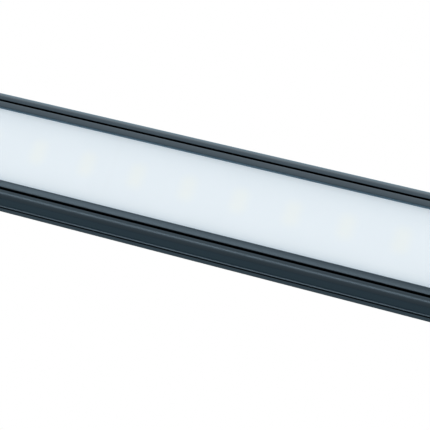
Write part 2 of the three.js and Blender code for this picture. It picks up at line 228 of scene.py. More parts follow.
# Nodes and node groups that several finishes share.
def newGroup(name, inputs, outputs):
    group = bpy.data.node_groups.new(name, "ShaderNodeTree")
    for label, kind, value in inputs:
        socket = group.interface.new_socket(label, in_out="INPUT", socket_type=kind)
        if value is not None:
            socket.default_value = value
    for label, kind in outputs:
        group.interface.new_socket(label, in_out="OUTPUT", socket_type=kind)
    return group, group.nodes.new("NodeGroupInput"), group.nodes.new("NodeGroupOutput")


def mathNode(tree, operation, first, second=0.0):
    node = tree.nodes.new("ShaderNodeMath")
    node.operation = operation
    for socket, value in zip(node.inputs, (first, second)):
        if isinstance(value, (int, float)):
            socket.default_value = value
        else:
            tree.links.new(value, socket)
    return node.outputs[0]


def mapped(tree, value, fromLow, fromHigh, toLow, toHigh, smooth=False):
    node = tree.nodes.new("ShaderNodeMapRange")
    if smooth:
        node.interpolation_type = "SMOOTHSTEP"
    limits = {"From Min": fromLow, "From Max": fromHigh, "To Min": toLow, "To Max": toHigh}
    for label, number in limits.items():
        node.inputs[label].default_value = number
    tree.links.new(value, node.inputs["Value"])
    return node.outputs[0]


def noiseOn(tree, vector, scale, detail=2.0):
    node = tree.nodes.new("ShaderNodeTexNoise")
    node.inputs["Scale"].default_value = scale
    node.inputs["Detail"].default_value = detail
    tree.links.new(vector, node.inputs["Vector"])
    return node.outputs["Fac"]


def scaled(tree, vector, scale):
    node = tree.nodes.new("ShaderNodeMapping")
    node.inputs["Scale"].default_value = scale
    tree.links.new(vector, node.inputs["Vector"])
    return node.outputs[0]


def blended(tree, factor, first, second):
    node = tree.nodes.new("ShaderNodeMix")
    node.data_type = "RGBA"
    node.inputs[6].default_value = first
    node.inputs[7].default_value = second
    tree.links.new(factor, node.inputs[0])
    return node.outputs[2]


def tinted(tree, colour, factor):  # a colour, or a socket's colour, times a factor that varies
    node = tree.nodes.new("ShaderNodeMix")
    node.data_type = "RGBA"
    node.blend_type = "MULTIPLY"
    node.inputs[0].default_value = 1.0
    if isinstance(colour, tuple):
        node.inputs[6].default_value = colour
    else:
        tree.links.new(colour, node.inputs[6])
    spread = tree.nodes.new("ShaderNodeCombineColor")
    for socket in spread.inputs:
        tree.links.new(factor, socket)
    tree.links.new(spread.outputs[0], node.inputs[7])
    return node.outputs[2]


satin = {
    "lineScale": (60, 9000, 9000),
    "blotchScale": (40, 160, 160),
    "blotchDepth": 0.12,
}


def makeSatinGrain():  # fine drawn lines along the bar, soft mottling of the dye
    group, given, out = newGroup(
        "satinGrain",
        [("Vector", "NodeSocketVector", None), ("Colour", "NodeSocketColor", None),
         ("Roughness", "NodeSocketFloat", 0.35), ("Depth", "NodeSocketFloat", 0.1)],
        [("Colour", "NodeSocketColor"), ("Roughness", "NodeSocketFloat"), ("Height", "NodeSocketFloat")],
    )
    vector = given.outputs["Vector"]
    lines = noiseOn(group, scaled(group, vector, satin["lineScale"]), 1.0, 3.0)
    blotch = noiseOn(group, scaled(group, vector, satin["blotchScale"]), 1.0, 4.0)
    swing = mathNode(group, "MULTIPLY", mathNode(group, "SUBTRACT", lines, 0.5), given.outputs["Depth"])
    stain = mathNode(group, "MULTIPLY", mathNode(group, "SUBTRACT", blotch, 0.5), satin["blotchDepth"])
    factor = mathNode(group, "ADD", mathNode(group, "ADD", swing, stain), 1.0)
    rough = mathNode(group, "MULTIPLY", given.outputs["Roughness"], mathNode(group, "ADD", swing, 1.0))
    link = group.links.new
    link(tinted(group, given.outputs["Colour"], factor), out.inputs["Colour"])
    link(rough, out.inputs["Roughness"])
    link(lines, out.inputs["Height"])
    return group


def makeMoulded():  # the fine spark texture of moulded plastic and rubber
    group, given, out = newGroup(
        "mouldedTexture",
        [("Vector", "NodeSocketVector", None), ("Colour", "NodeSocketColor", None),
         ("Grain", "NodeSocketFloat", 4000.0), ("Mottle", "NodeSocketFloat", 0.1)],
        [("Colour", "NodeSocketColor"), ("Height", "NodeSocketFloat")],
    )
    vector = given.outputs["Vector"]
    grain = group.nodes.new("ShaderNodeTexNoise")
    grain.inputs["Detail"].default_value = 3.0
    group.links.new(vector, grain.inputs["Vector"])
    group.links.new(given.outputs["Grain"], grain.inputs["Scale"])
    patches = noiseOn(group, vector, 220.0, 3.0)  # a few millimetres across
    swing = mathNode(group, "MULTIPLY", mathNode(group, "SUBTRACT", patches, 0.5), given.outputs["Mottle"])
    factor = mathNode(group, "ADD", swing, 1.0)
    group.links.new(tinted(group, given.outputs["Colour"], factor), out.inputs["Colour"])
    group.links.new(grain.outputs["Fac"], out.inputs["Height"])
    return group


satinGrain = makeSatinGrain()
mouldedTexture = makeMoulded()
print("shader groups built")


# Finishes. Lengths in their dictionaries are in metres, those of the pieces further on in millimetres.
def newMaterial(name, **settings):
    material = bpy.data.materials.new(name)
    material.use_nodes = True
    shader = material.node_tree.nodes["Principled BSDF"]
    for label, value in settings.items():
        shader.inputs[label.replace("_", " ")].default_value = value
    return material, material.node_tree, shader


def objectVector(tree):
    return tree.nodes.new("ShaderNodeTexCoord").outputs["Object"]


def addBump(tree, shader, height, distance, strength):
    bump = tree.nodes.new("ShaderNodeBump")
    bump.inputs["Distance"].default_value = distance
    bump.inputs["Strength"].default_value = strength
    tree.links.new(height, bump.inputs["Height"])
    tree.links.new(bump.outputs[0], shader.inputs["Normal"])


anodised = {
    "bodyColour": (0.083, 0.112, 0.135, 1),
    "stripColour": (0.075, 0.101, 0.122, 1),
    "railColour": (0.200, 0.235, 0.260, 1),
    "roughness": 0.34,
    "grain": 0.10,
    "grainDepth": 0.00001,
    "bumpStrength": 0.15,
    "rimTint": (0.62, 0.83, 0.97, 1),
}


def makeAnodised(name, colour):
    material, tree, shader = newMaterial(name, Metallic=1.0, Specular_Tint=anodised["rimTint"])
    group = tree.nodes.new("ShaderNodeGroup")
    group.node_tree = satinGrain
    group.inputs["Colour"].default_value = colour
    group.inputs["Roughness"].default_value = anodised["roughness"]
    group.inputs["Depth"].default_value = anodised["grain"]
    tree.links.new(objectVector(tree), group.inputs["Vector"])
    tree.links.new(group.outputs["Colour"], shader.inputs["Base Color"])
    tree.links.new(group.outputs["Roughness"], shader.inputs["Roughness"])
    addBump(tree, shader, group.outputs["Height"], anodised["grainDepth"], anodised["bumpStrength"])
    return material


# painted light: the unlit opal sheet gets a faint emission, brighter in a soft spot over each LED, standing
# in for light scattered through it
opal = {
    "colour": (0.565, 0.596, 0.599, 1),
    "glow": (0.623, 0.826, 1.0, 1),
    "glowSpot": (0.705, 0.868, 0.93, 1),
    "glowStrength": 0.345,
    "roughness": 0.42,
    "glowHalf": (0.0003, 0.0016),
    "glowHeight": 0.0005,
    "glowSoftness": 0.0042,
    # painted shade: a narrow strip of dimmer glow where the two boards meet
    "seamWidth": 0.0016,
    "seamShade": 0.985,
    "hazeScale": 90.0,
    "hazeShade": 0.985,
    "grainScale": 2600.0,
    "grainDepth": 0.000004,
    "bumpStrength": 0.2,
}


def fromNearestLed(tree, across):  # distance along the bar from the middle of the nearest light source
    along = mathNode(tree, "ADD", across, ledPitch * 100)
    along = mathNode(tree, "SUBTRACT", mathNode(tree, "MODULO", along, ledPitch), ledPitch / 2)
    return mathNode(tree, "ABSOLUTE", along)


def makeOpal():
    material, tree, shader = newMaterial("opalSheet", Roughness=opal["roughness"])
    link = tree.links.new
    parts = tree.nodes.new("ShaderNodeSeparateXYZ")
    link(objectVector(tree), parts.inputs[0])
    halfX, halfZ = opal["glowHalf"]
    dx = mathNode(tree, "SUBTRACT", fromNearestLed(tree, parts.outputs["X"]), halfX)
    dx = mathNode(tree, "MAXIMUM", dx, 0.0)
    dz = mathNode(tree, "ABSOLUTE", mathNode(tree, "SUBTRACT", parts.outputs["Z"], opal["glowHeight"]))
    dz = mathNode(tree, "MAXIMUM", mathNode(tree, "SUBTRACT", dz, halfZ), 0.0)
    squares = [mathNode(tree, "MULTIPLY", gap, gap) for gap in (dx, dz)]
    distance = mathNode(tree, "SQRT", mathNode(tree, "ADD", *squares))
    # painted glow: the emission is brighter in a soft spot over each LED
    spot = mapped(tree, distance, 0.0, opal["glowSoftness"], 1.0, 0.0, smooth=True)
    glow = blended(tree, spot, opal["glow"], opal["glowSpot"])
    middle = mathNode(tree, "ABSOLUTE", parts.outputs["X"])  # the two boards meet at x = 0; the glow is painted darker there as shade
    seamPaintedShade = mapped(tree, middle, 0.0, opal["seamWidth"], opal["seamShade"], 1.0, smooth=True)
    link(tinted(tree, glow, seamPaintedShade), shader.inputs["Emission Color"])
    shader.inputs["Emission Strength"].default_value = opal["glowStrength"]
    haze = noiseOn(tree, objectVector(tree), opal["hazeScale"])
    haze = mapped(tree, haze, 0.3, 0.7, opal["hazeShade"], 1.0)
    link(tinted(tree, opal["colour"], haze), shader.inputs["Base Color"])
    grain = noiseOn(tree, objectVector(tree), opal["grainScale"])
    addBump(tree, shader, grain, opal["grainDepth"], opal["bumpStrength"])
    return material


def makeMouldedMaterial(name, colour, roughness, grain=4000.0, mottle=0.1, bump=0.00001, **more):
    material, tree, shader = newMaterial(name, Roughness=roughness, **more)
    group = tree.nodes.new("ShaderNodeGroup")
    group.node_tree = mouldedTexture
    group.inputs["Colour"].default_value = colour
    group.inputs["Grain"].default_value = grain
    group.inputs["Mottle"].default_value = mottle
    tree.links.new(objectVector(tree), group.inputs["Vector"])
    tree.links.new(group.outputs["Colour"], shader.inputs["Base Color"])
    addBump(tree, shader, group.outputs["Height"], bump, 0.5)
    return material


phosphor = {
    "body": (0.80, 0.80, 0.77, 1),
    "window": (0.84, 0.66, 0.12, 1),
    "half": (0.00108, 0.00238),
    "roughness": 0.4,
}


def makePhosphor():  # a white package with a yellow window in its front
    material, tree, shader = newMaterial("ledPackage", Roughness=phosphor["roughness"])
    parts = tree.nodes.new("ShaderNodeSeparateXYZ")
    tree.links.new(objectVector(tree), parts.inputs[0])
    halfX, halfZ = phosphor["half"]
    inX = mathNode(tree, "LESS_THAN", fromNearestLed(tree, parts.outputs["X"]), halfX)
    inZ = mathNode(tree, "LESS_THAN", mathNode(tree, "ABSOLUTE", parts.outputs["Z"]), halfZ)
    shade = blended(tree, mathNode(tree, "MULTIPLY", inX, inZ), phosphor["body"], phosphor["window"])
    tree.links.new(shade, shader.inputs["Base Color"])
    return material


boardFinish = {
    "colour": (0.035, 0.17, 0.07, 1),
    "roughness": 0.33,
    "cellScale": 210.0,
    "gap": (0.035, 0.055),
    "gapShade": 0.74,
    "copperDepth": 0.00004,
}


def makeBoardFinish():  # copper areas with straight gaps between them, under a green coating
    material, tree, shader = newMaterial("greenSolderResist", Roughness=boardFinish["roughness"])
    steps = []
    for feature in ("F2", "F1"):
        cells = tree.nodes.new("ShaderNodeTexVoronoi")
        cells.feature = feature
        cells.distance = "CHEBYCHEV"
        cells.inputs["Scale"].default_value = boardFinish["cellScale"]
        tree.links.new(objectVector(tree), cells.inputs["Vector"])
        steps.append(cells.outputs["Distance"])
    start, end = boardFinish["gap"]
    copper = mapped(tree, mathNode(tree, "SUBTRACT", *steps), start, end, boardFinish["gapShade"], 1.0)
    tree.links.new(tinted(tree, boardFinish["colour"], copper), shader.inputs["Base Color"])
    addBump(tree, shader, copper, boardFinish["copperDepth"], 0.5)
    return material


finishes = {
    "anodised_body": makeAnodised("anodisedAluminium", anodised["bodyColour"]),
    "opal_diffuser": makeOpal(),
    "led_board": makeMouldedMaterial("whiteSolderResist", (0.82, 0.84, 0.82, 1), 0.35),
    "led_phosphor": makePhosphor(),
    "thermal_tape": makeMouldedMaterial("thermalTape", (0.36, 0.38, 0.4, 1), 0.8, grain=2500.0),
    "cap_plastic": makeMouldedMaterial("capPlastic", (0.018, 0.021, 0.024, 1), 0.45, bump=0.00002),
    "seal_rubber": makeMouldedMaterial("sealRubber", (0.012, 0.013, 0.014, 1), 0.75, grain=1800.0),
    "black_screw": makeMouldedMaterial("blackZinc", (0.05, 0.052, 0.056, 1), 0.38, Metallic=1.0),
    "plated_screw": makeMouldedMaterial("platedSteel", (0.56, 0.57, 0.58, 1), 0.3, Metallic=1.0),
    "white_plastic": makeMouldedMaterial("whiteNylon", (0.74, 0.73, 0.68, 1), 0.45),
    "driver_cradle": makeMouldedMaterial("cradlePlastic", (0.58, 0.6, 0.61, 1), 0.5),
    "driver_board": makeBoardFinish(),
    "ferrite": makeMouldedMaterial("ferrite", (0.04, 0.04, 0.042, 1), 0.6),
    "winding_tape": makeMouldedMaterial("windingTape", (0.65, 0.42, 0.05, 1), 0.3),
    "capacitor_sleeve": makeMouldedMaterial("capacitorSleeve", (0.02, 0.022, 0.04, 1), 0.3),
    "fuse_body": makeMouldedMaterial("fuseCeramic", (0.62, 0.66, 0.6, 1), 0.35),
    "brown_wire": makeMouldedMaterial("brownInsulation", (0.16, 0.05, 0.02, 1), 0.4),
    "blue_wire": makeMouldedMaterial("blueInsulation", (0.02, 0.1, 0.36, 1), 0.4),
    "red_wire": makeMouldedMaterial("redInsulation", (0.45, 0.02, 0.015, 1), 0.4),
    "black_wire": makeMouldedMaterial("blackInsulation", (0.012, 0.012, 0.014, 1), 0.4),
}
stripFinish = makeAnodised("anodisedStrip", anodised["stripColour"])
railFinish = makeAnodised("anodisedRail", anodised["railColour"])
slotOf = {part["node"]: part["material_slot"] for part in frame["record"]["subparts"]}
for name, node in nodes.items():
    node.data.materials.clear()
    node.data.materials.append(finishes[slotOf[name]])
print("materials ready:", len(finishes))


# Shapes that several pieces are made with.
def roundedFace(bm, x, corners):  # corners are (setback, z) or (setback, z, rounding)
    ring = [bm.verts.new(place(x, corner[0], corner[1])) for corner in corners]
    bm.faces.new(ring)
    roundings = [corner[2] if len(corner) > 2 else 0 for corner in corners]
    for size in sorted(set(roundings) - {0}):
        picked = [vert for vert, rounding in zip(ring, roundings) if rounding == size]
        steps = 4 + round(size * 8)  # finer on a larger rounding
        bmesh.ops.bevel(bm, geom=picked, offset=mm(size), offset_type="OFFSET", affect="VERTICES",
                        segments=steps, profile=0.5, material=-1)
    bmesh.ops.remove_doubles(bm, verts=bm.verts, dist=mm(0.001))
    bm.faces.ensure_lookup_table()
    return bm.faces[0]


def stretchAlongX(bm, faces, length):
    grown = bmesh.ops.extrude_face_region(bm, geom=faces)["geom"]
    moved = [item for item in grown if isinstance(item, bmesh.types.BMVert)]
    bmesh.ops.translate(bm, verts=moved, vec=(length, 0, 0))
    bmesh.ops.recalc_face_normals(bm, faces=bm.faces)


def extruded(corners, start, end):
    bm = bmesh.new()
    stretchAlongX(bm, [roundedFace(bm, start, corners)], end - start)
    return bm


def turnedOver(corners):
    return [(corner[0], -corner[1], *corner[2:]) for corner in reversed(corners)]


def bothSides(corners):  # an outline for z above 0, closed by its mirror image
    return corners + turnedOver(corners)


def addBlock(bm, low, high):
    verts = bmesh.ops.create_cube(bm, size=1)["verts"]
    bmesh.ops.scale(bm, vec=high - low, verts=verts)
    bmesh.ops.translate(bm, vec=(low + high) / 2, verts=verts)
    return verts


def aim(outward, spot):
    return Matrix.Translation(spot) @ Vector(outward).to_track_quat("Z", "Y").to_matrix().to_4x4()


def addRod(bm, axis, middle, radius, length, sides=40, tip=None):  # a rod that cuts is longer than its hole
    made = bmesh.ops.create_cone(bm, cap_ends=True, segments=sides, depth=mm(length),
                                 radius1=mm(radius), radius2=mm(radius if tip is None else tip))
    bmesh.ops.transform(bm, matrix=aim(axis, middle), verts=made["verts"])


def spun(profile, closed=False, steps=48):  # (radius, height) points turned about the Z axis
    bm = bmesh.new()
    ring = [bm.verts.new((mm(radius), 0, mm(height))) for radius, height in profile]
    ends = ring[1:] + ring[:1] if closed else ring[1:]
    edges = [bm.edges.new(pair) for pair in zip(ring, ends)]
    bmesh.ops.spin(bm, geom=ring + edges, cent=(0, 0, 0), axis=(0, 0, 1), angle=2 * math.pi,
                   steps=steps, use_merge=True)
    bmesh.ops.remove_doubles(bm, verts=bm.verts, dist=mm(0.001))
    bmesh.ops.recalc_face_normals(bm, faces=bm.faces)
    return bm


def meshObject(bm, name):
    mesh = bpy.data.meshes.new(name)
    bm.to_mesh(mesh)
    bm.free()
    piece = bpy.data.objects.new(name, mesh)
    bpy.context.scene.collection.objects.link(piece)
    return piece


def combined(bm, tool, operation="DIFFERENCE"):  # the first shape with the second cut away or joined on
    piece, cutter = meshObject(bm, "blank"), meshObject(tool, "cutter")
    modifier = piece.modifiers.new("combine", "BOOLEAN")
    modifier.operation = operation
    modifier.object = cutter
    modifier.use_self = True
    result = bmesh.new()
    result.from_object(piece, bpy.context.evaluated_depsgraph_get())
    for spare in (piece, cutter):
        bpy.data.objects.remove(spare)
    return result


def keepPiece(bm, name, body, replaced=(), slot=None, edge=0.0, steps=3, angle=28, finish=None):
    piece = meshObject(bm, name)
    slot = slot or slotOf[replaced[0]]
    piece.data.materials.append(finish or finishes[slot])
    piece.data.shade_smooth()
    piece.data.set_sharp_from_angle(angle=math.radians(angle))
    if edge:
        bevel = piece.modifiers.new("edges", "BEVEL")
        bevel.width = mm(edge)
        bevel.segments = steps
        bevel.limit_method = "ANGLE"
        bevel.angle_limit = math.radians(angle)
        bevel.harden_normals = True
    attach(piece, body)
    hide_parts(*replaced)


# The extrusion has a web across its middle, with the light source before it and the driver behind it.
housing = {
    "outline": [
        (18.6, 14.1), (18.6, 15.4), (13.3, 15.4), (13.3, 16.9), (12.9, 16.9, 0.03), (12.8, 16.6),
        (1.1, 16.6, 2.25), (1.1, 14.1), (4.2, 14.1), (4.2, 15.1), (6.9, 15.1), (6.9, 14.3),
        (7.9, 14.3), (7.9, 15.1), (9.6, 15.1),
    ],
    "portSetback": 12.9,
    "portZ": 12.0,
    "portRadius": 2.2,
    "portFrom": 197.3,
    "portTo": 72.7,
    "portBore": 1.25,
    "webSetback": 10.2,
    "wireHoleX": 0.138,
    "wireHoleZ": 8.7,
    "wireHole": 1.0,
}


def makeHousing():
    depth, height, reach = housing["portSetback"], housing["portZ"], housing["portRadius"]
    first, last = math.radians(housing["portFrom"]), math.radians(housing["portTo"] + 360)
    angles = [first + (last - first) * step / 14 for step in range(15)]  # from the web round to the wall
    port = [(depth + reach * math.cos(angle), height + reach * math.sin(angle)) for angle in angles]
    bores = bmesh.new()
    for side in (-1, 1):
        middle = place(0, depth, side * height)
        addRod(bores, (1, 0, 0), middle, housing["portBore"], 1000 * (barEnd - barStart) + 2)
        hole = place(housing["wireHoleX"], housing["webSetback"], side * housing["wireHoleZ"])
        addRod(bores, (0, 1, 0), hole, housing["wireHole"], 4)
    bm = combined(extruded(bothSides(port + housing["outline"]), barStart, barEnd), bores)
    keepPiece(bm, "housingExtrusion", "lamp", ["housing"], edge=0.1)


makeHousing()


# The strips hook into the housing's grooves and hold the diffuser between them.
lightFace = {
    "bezel": [
        (0.04, 11.35, 0.45), (0.76, 13.45, 0.25), (8.05, 13.45), (8.05, 14.9), (9.5, 14.9), (9.5, 12.65),
        (4.9, 12.65), (4.4, 11.85), (3.85, 11.85), (3.85, 12.65), (2.1, 12.65), (2.1, 11.35),
    ],
    "diffuser": bothSides([(2.15, 12.5, 0.25), (3.65, 12.5, 0.25), (3.65, 11.2, 0.1), (3.45, 11.0, 0.2)]),
}


def makeFront():
    upper = extruded(lightFace["bezel"], barStart, barEnd)
    keepPiece(upper, "upperBezel", "lamp", ["upper_bezel_strip"], edge=0.06, steps=2, finish=stripFinish)
    lower = extruded(turnedOver(lightFace["bezel"]), barStart, barEnd)
    keepPiece(lower, "lowerBezel", "lamp", ["lower_bezel_strip"], edge=0.06, steps=2, finish=stripFinish)
    start, end = (corner.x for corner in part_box("diffuser"))
    sheet = extruded(lightFace["diffuser"], start, end)
    keepPiece(sheet, "opalDiffuser", "lamp", ["diffuser"], edge=0.05, steps=2)


makeFront()
print("light body built")


# Screw profiles run from the top of the head down to the tip, as (radius, height).
def threads(radius, start, end, pitch):  # a crest and a root for each turn
    turns = int((start - end) / pitch)
    ridges = []
    for turn in range(turns):
        height = start - turn * pitch
        ridges += [(radius, height - 0.2 * pitch), (0.8 * radius, height - 0.7 * pitch)]
    return ridges


def crossRecess(radius, depth, width):
    bm = bmesh.new()
    for reach in ((radius, width / 2), (width / 2, radius)):
        verts = addBlock(bm, Vector((-mm(reach[0]), -mm(reach[1]), -mm(depth))),
                         Vector((mm(reach[0]), mm(reach[1]), mm(1))))
        floor = [vert for vert in verts if vert.co.z < 0]
        bmesh.ops.scale(bm, vec=(0.55, 0.55, 1), verts=floor)  # narrower at the bottom
    return bm


def slotRecess(radius, depth, width):
    bm = bmesh.new()
    reach, half = mm(radius), mm(width / 2)
    addBlock(bm, Vector((-reach, -half, -mm(depth))), Vector((reach, half, mm(1))))
    return bm


def hexRecess(radius, depth):
    bm = bmesh.new()
    addRod(bm, (0, 0, 1), (0, 0, mm(0.5 - depth / 2)), radius, depth + 1, sides=6)
    return bm


screws = {
    "pan": {
        "profile": [
            (0, 0), (1.1, -0.04), (1.8, -0.25), (2.3, -0.62), (2.5, -1.05), (2.5, -1.3), (1.15, -1.3),
        ] + threads(1.1, -1.5, -12.3, 1.0) + [(0.5, -13), (0, -13)],
        "recess": (crossRecess, 1.45, 0.95, 0.62),
    },
    "clamp": {
        "profile": [(0, 0), (1.35, 0), (1.7, -0.35), (1.7, -1.1), (0.9, -1.1)]
        + threads(0.9, -1.1, -2.3, 0.5) + [(0.5, -2.5), (0, -2.5)],
        "recess": (slotRecess, 2.2, 0.55, 0.5),
    },
    "terminal": {
        "profile": [(0, 0), (1.45, 0), (1.7, -0.25), (1.7, -1.5), (0, -1.5)],
        "recess": (slotRecess, 2.2, 0.75, 0.5),
    },
    "lock": {
        "profile": [
            (0, 0), (1.2, 0), (1.45, -0.2), (1.25, -0.4), (1.45, -0.6), (1.25, -0.8), (1.45, -1.0),
            (1.2, -1.4), (0, -1.4),
        ],
        "recess": (hexRecess, 0.85, 0.8),
    },
}


def makeScrew(name, node, kind, outward, body="lamp"):
    recess, *sizes = screws[kind]["recess"]
    bm = combined(spun(screws[kind]["profile"]), recess(*sizes))
    low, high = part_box(node)
    top = (low + high) / 2
    for axis in range(3):
        top[axis] += outward[axis] * (high[axis] - low[axis]) / 2
    bmesh.ops.transform(bm, matrix=aim(outward, top), verts=bm.verts)
    keepPiece(bm, name, body, [node], edge=0.05, steps=2, angle=40)


# Each end has a cap and a gasket, held by two screws that run into the housing's ports.
endCap = {
    "outline": bothSides([(20.2, 16.9, 0.5), (0, 16.9, 2.65)]),
    "gasketOutline": bothSides([(18.4, 16.2, 0.5), (1.4, 16.2, 2.0)]),
    "screwSetback": 12.9,
    "screwZ": 12.0,
    "screwHole": 1.4,
    "counterbore": 2.8,
    "counterboreDepth": 1.5,
}


def makeEnd(side, sign):
    low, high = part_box("end_cap_" + side)
    outer = high.x if sign > 0 else low.x
    holes, gasketHoles = bmesh.new(), bmesh.new()
    for level in (-1, 1):
        spot = place(outer, endCap["screwSetback"], level * endCap["screwZ"])
        addRod(holes, (1, 0, 0), spot, endCap["screwHole"], 12)
        addRod(holes, (1, 0, 0), spot, endCap["counterbore"], 2 * endCap["counterboreDepth"])
        addRod(gasketHoles, (1, 0, 0), spot, endCap["screwHole"], 12)
    cap = combined(extruded(endCap["outline"], low.x, high.x), holes)
    keepPiece(cap, "endCap" + side.title(), "lamp", ["end_cap_" + side], edge=0.3)
    low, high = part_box("end_gasket_" + side)
    gasket = combined(extruded(endCap["gasketOutline"], low.x, high.x), gasketHoles)
    keepPiece(gasket, "endGasket" + side.title(), "lamp", ["end_gasket_" + side], edge=0.15)
    for level in ("upper", "lower"):
        node = f"end_cap_screw_{side}_{level}"
        makeScrew(f"capScrew{side.title()}{level.title()}", node, "pan", (sign, 0, 0))


makeEnd("left", -1)
makeEnd("right", 1)
print("ends built")


# The rail is screwed to the wall through its slots, and the lamp pushes onto it.
rail = {
    "corners": bothSides([(20.5, 16.9, 0.12), (15.3, 16.9), (15.65, 15.65), (19.0, 15.65, 0.4)]),
    "seat": (22, 11, 0.4),
    "seatBedding": 0.7,
    "plate": 1.5,
    "slot": (12, 5),
    "slotX": 118,
    "entryX": -92,
    "entryRadius": 6,
    "seatRadius": 8,
    "seatDepth": 0.7,
    "screwHole": 1.6,
    "grommet": [
        (3.5, -0.35), (3.8, -0.05), (7.55, -0.05), (7.85, -0.3), (7.85, -0.65),
        (5.85, -0.65), (5.85, -1.55), (7.85, -1.55), (7.75, -2.1), (7.2, -2.7),
        (4.7, -3.4), (3.9, -3.45), (3.5, -3.1),
    ],
}


def makeRail():
    low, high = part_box("wall_rail")
    length, width, height = rail["seat"]
    slotLength, slotWidth = rail["slot"]
    back = 1000 * -frontY
    front = back - rail["plate"]
    seats, cuts = bmesh.new(), bmesh.new()
    for side in (-1, 1):
        x = mm(side * rail["slotX"])
        half = mm(length / 2)
        foot = front + rail["seatBedding"]
        addBlock(seats, place(x - half, front - height, -width / 2), place(x + half, foot, width / 2))
        lock = nodeMiddle("rail_lock_screw_" + ("left" if side < 0 else "right"))
        addRod(cuts, (0, 0, 1), lock, rail["screwHole"], 4)
    entry = place(mm(rail["entryX"]), back, 0)
    addRod(cuts, (0, 1, 0), entry, rail["entryRadius"], 12, sides=64)
    addRod(cuts, (0, 1, 0), entry, rail["seatRadius"], 2 * rail["seatDepth"], sides=64)
    bm = combined(extruded(rail["corners"], low.x, high.x), seats, "UNION")
    bm = combined(bm, cuts)
    for side in (-1, 1):
        slot = bmesh.new()
        reach = mm((slotLength - slotWidth) / 2)
        ends = [place(mm(side * rail["slotX"]) + way * reach, back, 0) for way in (-1, 1)]
        addRod(slot, (0, 1, 0), ends[0], slotWidth / 2, 12)
        right = [vert for vert in slot.verts if vert.co.x > ends[0].x + mm(0.01)]
        bmesh.ops.translate(slot, verts=right, vec=ends[1] - ends[0])
        bm = combined(bm, slot)
    keepPiece(bm, "wallRail", "rail", ["wall_rail"], edge=0.05, steps=2, finish=railFinish)
    grommet = spun(rail["grommet"], closed=True, steps=64)
    bmesh.ops.transform(grommet, matrix=aim((0, 1, 0), entry), verts=grommet.verts)
    keepPiece(grommet, "cableGrommet", "rail", ["cable_grommet"], edge=0.12)
    makeScrew("railLockScrewLeft", "rail_lock_screw_left", "lock", (0, 0, -1), "rail")
    makeScrew("railLockScrewRight", "rail_lock_screw_right", "lock", (0, 0, -1), "rail")


makeRail()
print("rail built")


clamp = {
    "strap": bothSides([
        (16.75, 3.7, 3.7), (10.85, 3.7), (10.85, 9.4, 0.3),
        (12.35, 9.4, 0.4), (12.35, 5.0, 0.4), (18.05, 5.0, 5.0),
    ]),
    "footSetback": 11,
    "screwZ": 7.4,
    "screwHole": 1.1,
}


def makeClamp():
    low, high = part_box("cable_clamp")
    holes = bmesh.new()
    for side in (-1, 1):
        spot = place((low.x + high.x) / 2, clamp["footSetback"], side * clamp["screwZ"])
        addRod(holes, (0, 1, 0), spot, clamp["screwHole"], 8)
    strap = combined(extruded(clamp["strap"], low.x, high.x), holes)
    keepPiece(strap, "cableClamp", "lamp", ["cable_clamp"], edge=0.3)
    makeScrew("clampScrewUpper", "cable_clamp_screw_upper", "clamp", (0, 1, 0))
    makeScrew("clampScrewLower", "cable_clamp_screw_lower", "clamp", (0, 1, 0))


# Each pole of the block has a way for its wire right through it and a screw well near each end.
terminals = {
    "block": bothSides([
        (11.0, 8.5, 0.3), (15.6, 8.5, 0.5), (15.6, 7.4, 0.3),
        (18.2, 7.4, 0.6), (18.2, 0.5, 0.3), (15.8, 0.5),
    ]),
    "poleZ": 4.2,
    "wireSetback": 13.5,
    "wireHole": 1.4,
    "funnelInset": 0.3,
    "funnelDepth": 0.8,
    "funnelInner": 1.3,
    "funnelOuter": 2.1,
    "well": 1.9,
    "wellFloor": 14.7,
    "wellDepth": 5,
    "screwStep": 3.9,
}


def makeTerminals():
    low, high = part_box("terminal_block")
    middle = (low.x + high.x) / 2
    cuts = bmesh.new()
    for side in (-1, 1):
        z = side * terminals["poleZ"]
        addRod(cuts, (1, 0, 0), place(middle, terminals["wireSetback"], z), terminals["wireHole"], 20)
        for way, end in ((-1, low.x), (1, high.x)):
            funnel = place(end - mm(way * terminals["funnelInset"]), terminals["wireSetback"], z)
            addRod(cuts, (way, 0, 0), funnel, terminals["funnelInner"], terminals["funnelDepth"],
                   tip=terminals["funnelOuter"])
            setback = terminals["wellFloor"] + terminals["wellDepth"] / 2
            well = place(middle + mm(way * terminals["screwStep"]), setback, z)
            addRod(cuts, (0, 1, 0), well, terminals["well"], terminals["wellDepth"])
    block = combined(extruded(terminals["block"], low.x, high.x), cuts)
    keepPiece(block, "terminalBlock", "lamp", ["terminal_block"], edge=0.12)
    for pole in ("live", "neutral"):
        for use in ("supply", "driver"):
            name = f"terminalScrew{pole.title()}{use.title()}"
            makeScrew(name, f"terminal_screw_{pole}_{use}", "terminal", (0, 1, 0))


makeClamp()
makeTerminals()
print("terminals built")


cradle = {
    "outline": bothSides([
        (11.65, 8.8, 0.3), (14.2, 8.8), (14.5, 8.55, 0.1), (14.9, 8.55, 0.15), (15.6, 8.95, 0.15),
        (15.6, 9.6, 0.2), (10.85, 9.6, 0.3),
    ]),
}


def makeCradle():
    low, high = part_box("driver_cradle")
    tray = extruded(cradle["outline"], low.x, high.x)
    keepPiece(tray, "driverCradle", "lamp", ["driver_cradle"], edge=0.15)


transformer = {
    "bar": 2.2,
    "leg": 1.9,
    "windingGap": (0.3, -0.1, 0.3),
    "windingBelowTop": 0.15,
    "windingEdge": 1.1,
}


